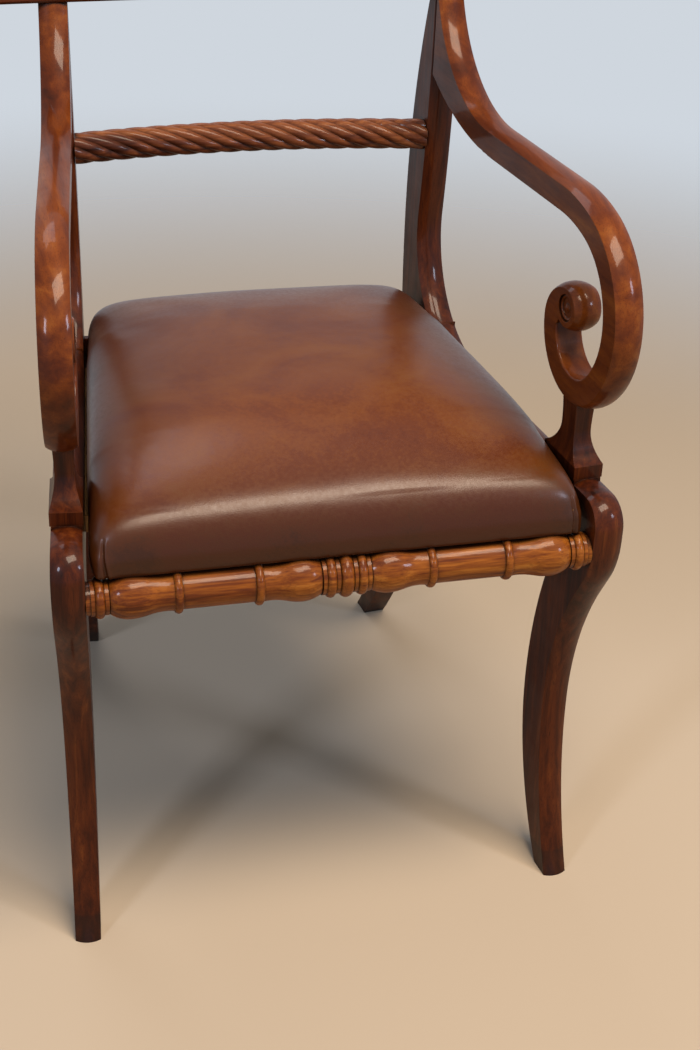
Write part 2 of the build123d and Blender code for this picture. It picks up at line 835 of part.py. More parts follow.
def seat_bars():
    inner = seat_bar_inset + seat_bar_width
    ring = bar_ring()
    wide = front_half_width
    front = ring & block(-wide, wide, seat_front, seat_front + inner, bar_bottom, bar_top)
    back = ring & block(-wide, wide, seat_back - inner, seat_back, bar_bottom, bar_top)
    right = ring & block(0, wide, seat_front + inner, seat_back - inner, bar_bottom, bar_top)
    for pin in seat_tenons():
        right += pin
    for pin in seat_tenons(joint_clearance):
        front = front - pin - mirrored(pin)
        back = back - pin - mirrored(pin)
    return front, back, right, mirrored(right)


def seat_webbing():
    strips = []
    front = seat_front + seat_bar_inset + web_lap
    back = seat_back - seat_bar_inset - web_lap
    pitch = 2 * web_width
    for index in range(web_count):
        at = (index - (web_count - 1) / 2) * pitch
        lower_top = bar_top + web_thick
        strips.append(block(at - web_width / 2, at + web_width / 2, front, back, bar_top, lower_top))
        near = (front + back) / 2 + at - web_width / 2
        far = near + web_width
        span = seat_half(far, seat_bar_inset + web_lap)
        strips.append(block(-span, span, near, far, lower_top, web_top))
    return strips


def seat_tacks():
    # Round heads along the underside, through the bottom cloth and the leather's hem.
    top = seat_bottom - cloth_thick
    front = seat_front + tack_inset
    back = seat_back - tack_inset
    heads = []

    def head(x, y):
        heads.append(Pos(x, y, top - tack_height / 2) * Cylinder(tack_radius, tack_height))

    for depth in (front, back):
        half = seat_half(depth, tack_inset)
        count = int(2 * half / tack_pitch)
        for index in range(count + 1):
            head(half * (2 * index / count - 1), depth)
    count = int((back - front) / tack_pitch)
    for index in range(1, count):
        depth = front + (back - front) * index / count
        half = seat_half(depth, tack_inset)
        head(half, depth)
        head(-half, depth)
    return heads


# Assembly: each piece in its place, with the sockets of the pieces that meet it

def place(piece):
    return right_side * piece


def group(members):
    return Compound([solid for piece in members for solid in piece.solids()])


def build():
    leg = front_leg()
    post = back_post()
    arm = scroll_arm()
    stump = arm_stump(arm)
    leg -= side_tenon(leg_joint, -1, joint_clearance)
    post -= side_tenon(post_joint, 1, joint_clearance)
    rail = side_rail()
    for hole in bearer_screws(screw_hole):
        rail -= hole
    for hole in stump_dowels(joint_clearance):
        leg -= hole
        stump -= hole
        arm -= hole
    plug = pellet() & board(post_outline()[1], side_thick)
    post = post - arm_screw(joint_clearance) - pellet(joint_clearance)
    arm -= arm_screw(joint_clearance)

    cross_sockets = [rope_tenon(joint_clearance), rear_tenon(joint_clearance)]
    post = place(post)
    for socket in cross_sockets:
        post -= socket
    leg = place(leg) - turned_tenon(joint_clearance)
    tenons = [place(crest_tenon(joint_clearance)), mirrored(place(crest_tenon(joint_clearance)))]

    back = rear_rail()
    bearer = place(seat_bearer())
    corner = corner_block()
    for hole in block_screws(screw_hole):
        for cut in on_both_sides(hole):
            back -= cut
        bearer -= hole
        corner -= hole

    pieces = {
        "crest_rail": crest_rail(tenons),
        "rope_rail": rope_rail(),
        "front_rail": front_rail(),
        "rear_seat_rail": back,
    }
    pairs = {
        "back_post": post,
        "front_leg": leg,
        "side_rail": place(rail),
        "arm": place(arm),
        "arm_stump": place(stump),
        "seat_bearer": bearer,
        "corner_block": corner,
    }
    for name, piece in pairs.items():
        pieces["right_" + name] = piece
        pieces["left_" + name] = mirrored(piece)

    groups = {
        "stump_dowels": [place(pin) for pin in stump_dowels()],
        "arm_screws": [place(arm_screw())],
        "arm_screw_pellets": [place(plug)],
        "bearer_screws": [place(pin) for pin in bearer_screws()],
        "corner_block_screws": block_screws(),
    }
    for name, members in groups.items():
        pieces[name] = group([side for piece in members for side in on_both_sides(piece)])

    front_bar, back_bar, right_bar, left_bar = seat_bars()
    pieces["seat_front_bar"] = front_bar
    pieces["seat_back_bar"] = back_bar
    pieces["seat_right_bar"] = right_bar
    pieces["seat_left_bar"] = left_bar
    pieces["seat_webbing"] = group(seat_webbing())
    pieces["seat_hessian"] = slab(seat_bar_inset + web_lap / 2, web_top, web_top + hessian_thick)
    pieces["seat_stuffing"] = seat_stuffing()
    pieces["seat_leather"] = seat_leather()
    pieces["seat_bottom_cloth"] = slab(cloth_inset, seat_bottom - cloth_thick, seat_bottom)
    pieces["seat_tacks"] = group(seat_tacks())
    return pieces


def main():
    os.makedirs("parts", exist_ok=True)
    for name, piece in build().items():
        export_step(home * piece, f"parts/{name}.step")


main()
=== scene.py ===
import math
import bmesh
import bpy
from mathutils import Matrix, Vector, noise


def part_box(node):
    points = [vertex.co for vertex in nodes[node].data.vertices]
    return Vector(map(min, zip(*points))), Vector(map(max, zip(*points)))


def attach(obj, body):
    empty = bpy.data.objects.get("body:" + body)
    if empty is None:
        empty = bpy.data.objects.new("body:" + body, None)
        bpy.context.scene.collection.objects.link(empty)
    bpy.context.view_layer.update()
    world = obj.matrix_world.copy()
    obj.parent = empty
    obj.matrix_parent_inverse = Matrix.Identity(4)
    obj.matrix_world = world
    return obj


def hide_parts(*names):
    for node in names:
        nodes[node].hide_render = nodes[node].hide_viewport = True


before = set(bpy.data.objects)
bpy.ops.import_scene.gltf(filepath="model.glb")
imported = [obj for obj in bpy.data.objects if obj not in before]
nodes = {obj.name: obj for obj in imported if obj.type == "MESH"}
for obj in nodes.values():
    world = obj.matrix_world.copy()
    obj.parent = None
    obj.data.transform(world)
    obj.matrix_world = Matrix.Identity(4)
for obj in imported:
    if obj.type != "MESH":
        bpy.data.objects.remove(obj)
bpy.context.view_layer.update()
scene = bpy.context.scene
print("frame loaded:", len(nodes), "nodes")


def linear(hexColour):
    channels = [int(hexColour[i:i + 2], 16) / 255 for i in (1, 3, 5)]
    return tuple(c / 12.92 if c <= 0.04045 else ((c + 0.055) / 1.055) ** 2.4 for c in channels) + (1.0,)


def add(tree, kind, links=None, stops=(), **settings):
    # One node with its settings. A node given as an input links its first live output.
    made = tree.nodes.new(kind)
    for key, value in settings.items():
        setattr(made, key, value)
    for i, (place, colour) in enumerate(stops):
        points = made.color_ramp.elements
        point = points[i] if i < 2 else points.new(place)
        point.position = place
        point.color = linear(colour)
    for key, value in (links or {}).items():
        if isinstance(value, bpy.types.Node):
            value = next(socket for socket in value.outputs if socket.enabled)
        if isinstance(value, bpy.types.NodeSocket):
            tree.links.new(value, made.inputs[key])
        else:
            made.inputs[key].default_value = value
    return made


def newMaterial(name):
    material = bpy.data.materials.new(name)
    material.use_nodes = True
    tree = material.node_tree
    tree.nodes.clear()
    shader = add(tree, "ShaderNodeBsdfPrincipled")
    add(tree, "ShaderNodeOutputMaterial", {"Surface": shader})
    return material, tree, shader


def perMetre(millimetres):
    return 1000 / millimetres


# Wood under French polish: interlocked grain gives dark and light ribbons, open pores show as short
# dark dashes, shellac lies over them as a clear gloss, and the arrises are paler, partly worn by hands
# and partly a painted glint.
# Sizes are in millimetres; pores are drawn about twice too coarse, so that they show. Hollows are darkened
# by occlusion, partly old dark polish and partly painted shade. A hollow is its reach, the openness at which
# it starts to darken and is darkest, and how dark it gets.

woodLooks = {
    "mahogany": {
        "tones": ("#1f0a04", "#391506", "#50220a", "#6d3814"),
        "figure": 46, "ribbon": 6.5, "pore": 0.7, "poreDepth": 0.5,
        "coat": 0.25, "coatRoughness": 0.1, "roughness": (0.36, 0.52), "wearAndGlint": 0.45,
        "hollows": ((6, 0.93, 0.5, 0.85), (40, 0.6, 0.2, 0.5)),
    },
    "handled": {
        "tones": ("#341405", "#512208", "#6d350e", "#8c511c"),
        "figure": 95, "ribbon": 15, "pore": 0.7, "poreDepth": 0.45,
        "coat": 0.25, "coatRoughness": 0.09, "roughness": (0.34, 0.5), "wearAndGlint": 0.5,
        "hollows": ((6, 0.93, 0.5, 0.85), (45, 0.82, 0.35, 0.8)),
    },
    "golden": {
        "tones": ("#381607", "#65300f", "#8b4e17", "#b0712c"),
        "figure": 38, "ribbon": 4.0, "pore": 0.7, "poreDepth": 0.4,
        "coat": 0.25, "coatRoughness": 0.11, "roughness": (0.36, 0.5), "wearAndGlint": 0.3,
        "hollows": ((6, 0.95, 0.55, 0.9), (30, 0.7, 0.3, 0.5)),
    },
    "rope": {
        "tones": ("#271009", "#522917", "#764325", "#99633b"),
        "figure": 40, "ribbon": 5.5, "pore": 0.7, "poreDepth": 0.4,
        "coat": 0.25, "coatRoughness": 0.14, "roughness": (0.38, 0.54), "wearAndGlint": 0.35,
        "hollows": ((6, 0.93, 0.5, 0.9), (30, 0.7, 0.3, 0.4)),
    },
    "beech": {
        "tones": ("#7d5a38", "#98714a", "#ab8458", "#bb966a"),
        "figure": 34, "ribbon": 4.5, "pore": 0.5, "poreDepth": 0.3,
        "coat": 0.0, "coatRoughness": 0.4, "roughness": (0.55, 0.7), "wearAndGlint": 0.1,
        "hollows": ((6, 0.9, 0.4, 0.5),),
    },
}
# What all the woods share. Streaks and dashes are drawn out along the grain by these shares.
woodShared = {
    "streak": 0.07, "dash": 0.03, "ribbonShare": 0.55, "toneStops": (0.31, 0.44, 0.56, 0.71),
    "poreFrom": 0.56, "poreTo": 0.66, "arris": 1.0, "grimeAndShade": "#130602",
    "dampTop": 27.0, "dampFull": 23.5, "damp": "#1d100b", "dampDepth": 0.55,
    "wave": 17, "smudge": 30, "relief": 0.7, "ior": 1.5, "specular": 0.07,
}


def wood(name, look, grain, feet=False):
    settings = woodLooks[look]
    shared = woodShared
    tones = settings["tones"]
    material, tree, shader = newMaterial(name)
    place = add(tree, "ShaderNodeTexCoord").outputs["Object"]
    stretch = [1.0, 1.0, 1.0]
    stretch[grain] = shared["streak"]
    along = add(tree, "ShaderNodeVectorMath", {0: place, 1: stretch}, operation="MULTIPLY")
    figure = add(tree, "ShaderNodeTexNoise", {
        "Vector": along, "Scale": perMetre(settings["figure"]), "Detail": 3.0, "Roughness": 0.5,
        "Distortion": 0.3})
    ribbon = add(tree, "ShaderNodeTexNoise", {
        "Vector": along, "Scale": perMetre(settings["ribbon"]), "Detail": 4.0, "Roughness": 0.6,
        "Distortion": 0.4})
    mixed = add(tree, "ShaderNodeMix", {0: shared["ribbonShare"], 2: figure, 3: ribbon})
    colour = add(tree, "ShaderNodeValToRGB", {0: mixed}, stops=list(zip(shared["toneStops"], tones)))
    stretch[grain] = shared["dash"]
    dashes = add(tree, "ShaderNodeVectorMath", {0: place, 1: stretch}, operation="MULTIPLY")
    pores = add(tree, "ShaderNodeTexNoise", {
        "Vector": dashes, "Scale": perMetre(settings["pore"]), "Detail": 2.0})
    pore = add(tree, "ShaderNodeMapRange", {
        0: pores, 1: shared["poreFrom"], 2: shared["poreTo"], 3: 0.0, 4: settings["poreDepth"]},
        interpolation_type="SMOOTHSTEP")
    colour = add(tree, "ShaderNodeMix", {0: pore, 6: colour, 7: linear(tones[0])}, data_type="RGBA")
    # Arrises are paler, partly worn by hands and partly a painted glint; hollows are darkened by occlusion,
    # partly old dark polish and partly painted shade.
    soft = add(tree, "ShaderNodeBevel", {"Radius": shared["arris"] / 1000}, samples=4)
    facing = add(tree, "ShaderNodeNewGeometry").outputs["Normal"]
    arris = add(tree, "ShaderNodeVectorMath", {0: soft, 1: facing}, operation="DOT_PRODUCT")
    # Painted glint along the arrises, together with the paleness that hands have worn there.
    rubbedAndGlint = add(tree, "ShaderNodeMapRange", {0: arris, 1: 0.985, 2: 0.8, 3: 0.0, 4: settings["wearAndGlint"]},
                 interpolation_type="SMOOTHSTEP")
    colour = add(tree, "ShaderNodeMix", {0: rubbedAndGlint, 6: colour, 7: linear(tones[3])}, data_type="RGBA")
    for reach, start, end, depth in settings["hollows"]:
        shade = add(tree, "ShaderNodeAmbientOcclusion", {"Distance": reach / 1000}, samples=6).outputs["AO"]
        hollow = add(tree, "ShaderNodeMapRange", {0: shade, 1: start, 2: end, 3: 0.0, 4: depth},
                     interpolation_type="SMOOTHSTEP")
        colour = add(tree, "ShaderNodeMix", {0: hollow, 6: colour, 7: linear(shared["grimeAndShade"])},
                     data_type="RGBA")
    if feet:
        # Feet are darkened by damp and floor wax.
        height = add(tree, "ShaderNodeSeparateXYZ", {0: place}).outputs[2]
        low = add(tree, "ShaderNodeMapRange", {
            0: height, 1: shared["dampTop"] / 1000, 2: shared["dampFull"] / 1000, 3: 0.0,
            4: shared["dampDepth"]}, interpolation_type="SMOOTHSTEP")
        colour = add(tree, "ShaderNodeMix", {0: low, 6: colour, 7: linear(shared["damp"])}, data_type="RGBA")
    wave = add(tree, "ShaderNodeTexNoise", {
        "Vector": place, "Scale": perMetre(shared["wave"]), "Detail": 2.0})
    relief = add(tree, "ShaderNodeMath", {0: pore, 1: -0.25, 2: wave}, operation="MULTIPLY_ADD")
    bump = add(tree, "ShaderNodeBump", {
        "Strength": 0.2, "Distance": shared["relief"] / 1000, "Height": relief, "Normal": soft})
    smudge = add(tree, "ShaderNodeTexNoise", {
        "Vector": place, "Scale": perMetre(shared["smudge"]), "Detail": 4.0})
    glossy, dull = settings["roughness"]
    gloss = add(tree, "ShaderNodeMapRange", {0: smudge, 1: 0.3, 2: 0.7, 3: glossy, 4: dull})
    tree.links.new(colour.outputs[2], shader.inputs["Base Color"])
    tree.links.new(bump.outputs[0], shader.inputs["Normal"])
    tree.links.new(gloss.outputs[0], shader.inputs["Roughness"])
    shader.inputs["IOR"].default_value = shared["ior"]
    shader.inputs["Specular IOR Level"].default_value = shared["specular"]
    shader.inputs["Coat Weight"].default_value = settings["coat"]
    shader.inputs["Coat Roughness"].default_value = settings["coatRoughness"]
    return material


# French-polished mahogany with its grain upright, across, and front to back: deep red-brown, glossy
mahoganyUpright = wood("mahogany_polished_upright", "mahogany", 2, feet=True)
mahoganyAcross = wood("mahogany_polished_across", "mahogany", 0)
mahoganyDeep = wood("mahogany_polished_front_to_back", "mahogany", 1)
# Arms, rubbed paler and brighter by hands
mahoganyArm = wood("mahogany_hand_polished_front_to_back", "handled", 1)
# Straight-grained golden mahogany of the turned rail, and the browner rope rail
mahoganyGolden = wood("mahogany_golden_polished_across", "golden", 0)
mahoganyRope = wood("mahogany_carved_polished_across", "rope", 0)
# Planed beech, pale and dry, of the seat frame, bearers and blocks
beechDeep = wood("beech_planed_front_to_back", "beech", 1)
beechAcross = wood("beech_planed_across", "beech", 0)
print("wood ready")


# Antiqued cowhide, waxed: a tan ground under a dark glaze that sitting has rubbed off the crown, a fine
# pebble grain and a soft shine. The darkening towards the rim and the back is partly that glaze and partly
# painted shade. The cover carries "edge", 0 on the crown and 1 at its rim, with a share added towards the
# back. Sizes are in millimetres.

leatherLook = {
    "tones": ("#4b200a", "#63300e", "#7b4315", "#985b22"), "toneStops": (0.3, 0.45, 0.56, 0.7),
    "cloud": 95, "rub": 3.8, "rubShare": 0.3, "glazeAndShade": "#200903", "glazeFrom": 1.0, "glazeTo": 2.35,
    "glazeDepth": 0.9, "fold": "#140603", "foldShadeReach": 6, "pebble": 1.3, "crease": 2.4, "creaseShare": 0.55,
    "grainDepth": 0.6, "sway": 45, "swayDepth": 4, "roughness": (0.28, 0.4), "ior": 1.48, "specular": 0.3,
    "coat": 0.08, "coatRoughness": 0.2,
}


def leather(name):
    look = leatherLook
    material, tree, shader = newMaterial(name)
    place = add(tree, "ShaderNodeTexCoord").outputs["Object"]
    edge = add(tree, "ShaderNodeAttribute", attribute_name="edge").outputs["Fac"]
    clouds = add(tree, "ShaderNodeTexNoise", {
        "Vector": place, "Scale": perMetre(look["cloud"]), "Detail": 5.0, "Roughness": 0.62,
        "Distortion": 0.7})
    rub = add(tree, "ShaderNodeTexNoise", {
        "Vector": place, "Scale": perMetre(look["rub"]), "Detail": 4.0, "Roughness": 0.65})
    tone = add(tree, "ShaderNodeMix", {0: look["rubShare"], 2: clouds, 3: rub})
    colour = add(tree, "ShaderNodeValToRGB", {0: tone}, stops=list(zip(look["toneStops"], look["tones"])))
    # The glaze is left towards the rim, towards the back and in clouds; at the rim and the back the
    # darkening is partly painted shade.
    left = add(tree, "ShaderNodeMath", {0: tone, 1: 2.4, 2: edge}, operation="MULTIPLY_ADD")
    glazeAndShade = add(tree, "ShaderNodeMapRange", {
        0: left, 1: look["glazeFrom"], 2: look["glazeTo"], 3: 0.0, 4: look["glazeDepth"]})
    colour = add(tree, "ShaderNodeMix", {0: glazeAndShade, 6: colour, 7: linear(look["glazeAndShade"])}, data_type="RGBA")
    # Painted shade: where the leather folds or meets the wood, occlusion darkens it.
    shade = add(tree, "ShaderNodeAmbientOcclusion", {"Distance": look["foldShadeReach"] / 1000},
                samples=6).outputs["AO"]
    fold = add(tree, "ShaderNodeMapRange", {0: shade, 1: 0.7, 2: 0.2, 3: 0.0, 4: 0.9},
               interpolation_type="SMOOTHSTEP")
    colour = add(tree, "ShaderNodeMix", {0: fold, 6: colour, 7: linear(look["fold"])}, data_type="RGBA")
    cells = add(tree, "ShaderNodeTexVoronoi", {"Vector": place, "Scale": perMetre(look["pebble"])})
    creases = add(tree, "ShaderNodeTexNoise", {
        "Vector": place, "Scale": perMetre(look["crease"]), "Detail": 4.0, "Roughness": 0.6,
        "Distortion": 0.6})
    relief = add(tree, "ShaderNodeMix", {0: look["creaseShare"], 2: cells, 3: creases})
    fine = add(tree, "ShaderNodeBump", {
        "Strength": 0.15, "Distance": look["grainDepth"] / 1000, "Height": relief})
    sway = add(tree, "ShaderNodeTexNoise", {"Vector": place, "Scale": perMetre(look["sway"]), "Detail": 2.0})
    bump = add(tree, "ShaderNodeBump", {
        "Strength": 0.2, "Distance": look["swayDepth"] / 1000, "Height": sway, "Normal": fine})
    glossy, dull = look["roughness"]
    gloss = add(tree, "ShaderNodeMapRange", {0: rub, 1: 0.3, 2: 0.7, 3: glossy, 4: dull})
    tree.links.new(colour.outputs[2], shader.inputs["Base Color"])
    tree.links.new(bump.outputs[0], shader.inputs["Normal"])
    tree.links.new(gloss.outputs[0], shader.inputs["Roughness"])
    shader.inputs["IOR"].default_value = look["ior"]
    shader.inputs["Specular IOR Level"].default_value = look["specular"]
    shader.inputs["Coat Weight"].default_value = look["coat"]
    shader.inputs["Coat Roughness"].default_value = look["coatRoughness"]
    return material


tanLeather = leather("leather_tan_antiqued_waxed")


def weave(name, dark, light, pitch):
    # Plain-woven cloth: two crossing sets of threads, their pitch in millimetres.
    material, tree, shader = newMaterial(name)
    place = add(tree, "ShaderNodeTexCoord").outputs["Object"]
    bands = perMetre(pitch) * math.pi / 10
    threads = []
    for direction in ("X", "Y"):
        wave = add(tree, "ShaderNodeTexWave", {
            "Vector": place, "Scale": bands, "Distortion": 0.6, "Detail": 1.0}, bands_direction=direction)
        threads.append(wave.outputs[1])
    cross = add(tree, "ShaderNodeMath", {0: threads[0], 1: threads[1]}, operation="MULTIPLY")
    stain = add(tree, "ShaderNodeTexNoise", {"Vector": place, "Scale": perMetre(33), "Detail": 3.0})
    share = add(tree, "ShaderNodeMix", {0: 0.35, 2: cross, 3: stain})
    colour = add(tree, "ShaderNodeMix", {0: share, 6: linear(dark), 7: linear(light)}, data_type="RGBA")
    bump = add(tree, "ShaderNodeBump", {"Strength": 0.4, "Distance": 0.0003, "Height": cross})
    tree.links.new(colour.outputs[2], shader.inputs["Base Color"])
    tree.links.new(bump.outputs[0], shader.inputs["Normal"])
    shader.inputs["Roughness"].default_value = 0.9
    return material


# Black cotton bottoming, dull and close-woven; coarse jute webbing; open hessian; matted hair and wadding
bottomCotton = weave("cotton_black_bottoming", "#0b0b0c", "#2a2a2b", 0.9)
juteWeb = weave("jute_webbing", "#5d4a2f", "#8f7a55", 1.8)
hessianCloth = weave("hessian_plain", "#6b5533", "#a58a5c", 1.6)
wadding = weave("wadding_hair", "#7d7466", "#b5ac9b", 2.5)


def steel(name, dark, light, roughness):
    # Spots about 1 mm across, some of them duller
    material, tree, shader = newMaterial(name)
    place = add(tree, "ShaderNodeTexCoord").outputs["Object"]
    spots = add(tree, "ShaderNodeTexNoise", {
        "Vector": place, "Scale": perMetre(1.1), "Detail": 4.0, "Roughness": 0.6})
    colour = add(tree, "ShaderNodeValToRGB", {0: spots}, stops=[(0.35, dark), (0.65, light)])
    dulled = add(tree, "ShaderNodeMapRange", {0: spots, 1: 0.3, 2: 0.7, 3: roughness, 4: roughness + 0.2})
    tree.links.new(colour.outputs[0], shader.inputs["Base Color"])
    tree.links.new(dulled.outputs[0], shader.inputs["Roughness"])
    shader.inputs["Metallic"].default_value = 1.0
    return material


# Old iron wood screws, grey and dulled; cut tacks, blued almost black
screwSteel = steel("steel_screws_dulled", "#5b564f", "#8b857c", 0.35)
tackSteel = steel("steel_tacks_blued", "#14151a", "#2d2f36", 0.4)

finishes = {
    mahoganyUpright: ("left_front_leg", "right_front_leg", "left_back_post", "right_back_post",
                      "left_arm_stump", "right_arm_stump", "arm_screw_pellets"),
    mahoganyDeep: ("left_side_rail", "right_side_rail"),
    mahoganyArm: ("left_arm", "right_arm"),
    mahoganyAcross: ("crest_rail", "rear_seat_rail"),
    mahoganyGolden: ("front_rail",),
    mahoganyRope: ("rope_rail",),
    beechDeep: ("left_seat_bearer", "right_seat_bearer", "left_corner_block", "right_corner_block",
                "seat_left_bar", "seat_right_bar", "stump_dowels"),
    beechAcross: ("seat_front_bar", "seat_back_bar"),
    screwSteel: ("arm_screws", "bearer_screws", "corner_block_screws"),
    tackSteel: ("seat_tacks",),
    juteWeb: ("seat_webbing",),
    hessianCloth: ("seat_hessian",),
    wadding: ("seat_stuffing",),
    tanLeather: ("seat_leather",),
    bottomCotton: ("seat_bottom_cloth",),
}
for material, names in finishes.items():
    for name in names:
        slots = nodes[name].data.materials
        slots.clear()
        slots.append(material)
print("finishes on", sum(len(names) for names in finishes.values()), "nodes")


# Leather seat cover: rings round the seat from the hem over the crown, remeshed evenly, drawn back to a
# roll along the front, blown up as cloth over its stuffing, then creased at the front corners. Sizes in
# metres; heights are above the seat's underside.

seat = {
    "taper": 0.1125, "corner": 0.018, "cornerGrowth": 0.35, "cornerPoints": 12, "sidePoints": 40,
    "hem": 0.034, "hemFold": 0.0025, "hemSquare": 0.55, "hemRise": 0.002, "hemReach": 0.018, "hemFade": 0.03,
    "tuck": 0.003, "sideRings": 8, "slack": 0.0015, "slackFrom": 0.012, "bulge": 0.032,
    "height": 0.088, "lift": 4.0, "fullness": 2.5, "crownShare": 0.84, "crownRings": 24, "tilt": 0.0192,
    "frontRoll": 0.018, "rollReach": 0.085, "rollRadius": 0.062, "rollStart": 0.008,
    "frontDrop": 0.007, "frontReach": 0.11, "cornerDrop": 0.006, "dropReach": 0.075,
    "voxel": 0.005, "heldTo": 0.034, "heldFade": 0.014, "pressure": 3.0, "mass": 0.4, "stretchStiffness": 60,
    "bendStiffness": 40, "cap": 0.0035, "frames": 20, "ripple": 0.0011, "ripples": 9, "rippleFrom": 0.05,
    "seed": 7, "rim": 0.045, "backGlazeAndShade": 0.25,
}
seatLow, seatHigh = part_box("seat_leather")
railLow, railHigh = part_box("front_rail")
slant = math.hypot(1, seat["taper"])
frontHalf = seatHigh.x + seat["taper"] * seat["corner"]


def seatHalf(y, inset):
    return frontHalf - seat["taper"] * (y - seatLow.y) - inset * slant


def seatCorners(inset):
    # Right front, right back, left back and left front
    front, back = seatLow.y + inset, seatHigh.y - inset
    wide, narrow = seatHalf(front, inset), seatHalf(back, inset)
    return [Vector((wide, front)), Vector((narrow, back)), Vector((-narrow, back)), Vector((-wide, front))]


def seatLoop(inset, radius):
    # One closed line round the seat, from its right front corner, with rounded corners.
    lean = math.atan(seat["taper"])
    quarter = math.pi / 2
    left = 2 * quarter - lean
    turns = [(-quarter, lean), (lean, quarter), (quarter, left), (left, 3 * quarter)]
    arcs = []
    for centre, (start, end) in zip(seatCorners(inset + radius), turns):
        count = seat["cornerPoints"]
        angles = [start + (end - start) * i / (count - 1) for i in range(count)]
        arcs.append([centre + radius * Vector((math.cos(a), math.sin(a))) for a in angles])
    points = []
    for index, arc in enumerate(arcs):
        points += arc
        last, following = arc[-1], arcs[(index + 1) % 4][0]
        steps = seat["sidePoints"]
        points += [last.lerp(following, i / (steps + 1)) for i in range(1, steps + 1)]
    return points


def shoulderDrop(x, y):
    # The crown falls away in a broad roll along the front, and a little more at each corner.
    front = y - seatLow.y
    roll = seat["frontRoll"] * math.exp(-(front / seat["rollReach"]) ** 2)
    toFront, toBack = [(Vector((abs(x), y)) - corner).length for corner in seatCorners(0)[:2]]
    roll += seat["frontDrop"] * math.exp(-(toFront / seat["frontReach"]) ** 2)
    return roll + seat["cornerDrop"] * math.exp(-(toBack / seat["dropReach"]) ** 2)


def hemDrop(y):
    # The front hem lies down on the round of the turned rail.
    axis = (railLow + railHigh) / 2
    forward = min(max(axis.y - y, 0.0), seat["hemReach"])
    radius = (railHigh.z - railLow.z) / 2
    return radius - math.sqrt(radius ** 2 - forward ** 2)


def coverRings():
    # Insets and heights: hem, tucked side, bulge, shoulder and crown.
    hem, fold, tuck = seat["hem"], seat["hemFold"], seat["tuck"]
    rise, bulge = seat["hemRise"], seat["bulge"]
    crown = seat["crownShare"] * seatHalf(seatHigh.y, 0)
    rings = [(hem, 0.0), (hem * 0.6, 0.0), (hem * 0.3, -fold * 0.5), (tuck + 0.001, -fold)]
    for i in range(seat["sideRings"]):
        below = 1 - i / seat["sideRings"]
        rings.append((tuck * below ** 2, rise + (bulge - rise) * (1 - below)))
    for i in range(seat["crownRings"] + 1):
        up = 1 - (1 - i / seat["crownRings"]) ** 2
        wayIn = 1 - (1 - up ** seat["lift"]) ** (1 / seat["fullness"])
        rings.append((crown * wayIn, bulge + (seat["height"] - bulge) * up))
    return rings


def bridge(mesh, lower, upper):
    for i in range(len(lower)):
        j = (i + 1) % len(lower)
        mesh.faces.new((lower[i], lower[j], upper[j], upper[i]))


def seatCover():
    mesh = bmesh.new()
    middle = (seatLow.y + seatHigh.y) / 2
    loops = []
    narrow = seatHalf(seatHigh.y, 0)
    for inset, height in coverRings():
        square = 1 - seat["hemSquare"] * max(0.0, 1 - max(height, 0.0) / seat["bulge"])
        radius = min(seat["corner"] * square + seat["cornerGrowth"] * inset, narrow * 0.985 - inset)
        share = max(height, 0.0) / seat["height"]
        slack = seat["slack"] if height > seat["slackFrom"] else 0
        loop = []
        for point in seatLoop(inset + slack, radius):
            z = seatLow.z + height + share * (seat["tilt"] * (point.y - middle) - shoulderDrop(*point))
            z -= hemDrop(point.y) * max(0.0, 1 - height / seat["hemFade"])
            loop.append(mesh.verts.new((point.x, point.y, z)))
        loops.append(loop)
    for lower, upper in zip(loops, loops[1:]):
        bridge(mesh, lower, upper)
    mesh.faces.new(loops[-1])
    mesh.faces.new(loops[0][::-1])
    data = bpy.data.meshes.new("seat_cover")
    mesh.to_mesh(data)
    mesh.free()
    cover = bpy.data.objects.new("seat_cover", data)
    scene.collection.objects.link(cover)
    return cover


def applyAll(piece):
    made = bpy.data.meshes.new_from_object(piece.evaluated_get(bpy.context.evaluated_depsgraph_get()))
    piece.modifiers.clear()
    piece.data = made


def rollFront(cover):
    # Draws what stands out at the front back to the round of the roll.
    radius, start = seat["rollRadius"], seat["rollStart"]
    for vert in cover.data.vertices:
        depth = vert.co.y - seatLow.y - radius
        rise = vert.co.z - seatLow.z - start
        length = math.hypot(depth, rise)
        if depth < 0 and rise > 0 and length > radius:
            vert.co.y = seatLow.y + radius + depth * radius / length
            vert.co.z = seatLow.z + start + rise * radius / length


def relax(piece, rounds, lowest, margin):
    # Evens out what lies above a height and within a margin of the front or back.
    mesh = bmesh.new()
    mesh.from_mesh(piece.data)
    free = []
    for vert in mesh.verts:
        ends = min(vert.co.y - seatLow.y, seatHigh.y - vert.co.y)
        if vert.co.z > seatLow.z + lowest and ends < margin:
            free.append(vert)
    axes = {"use_axis_x": True, "use_axis_y": True, "use_axis_z": True}
    for _ in range(rounds):
        bmesh.ops.smooth_vert(mesh, verts=free, factor=0.5, **axes)
    mesh.to_mesh(piece.data)
    mesh.free()


def evenMesh(cover):
    even = cover.modifiers.new("even", "REMESH")
    even.mode = "VOXEL"
    even.voxel_size = seat["voxel"]
    applyAll(cover)
    relax(cover, rounds=3, lowest=0.004, margin=1.0)
    rollFront(cover)
    relax(cover, rounds=8, lowest=0.012, margin=0.09)


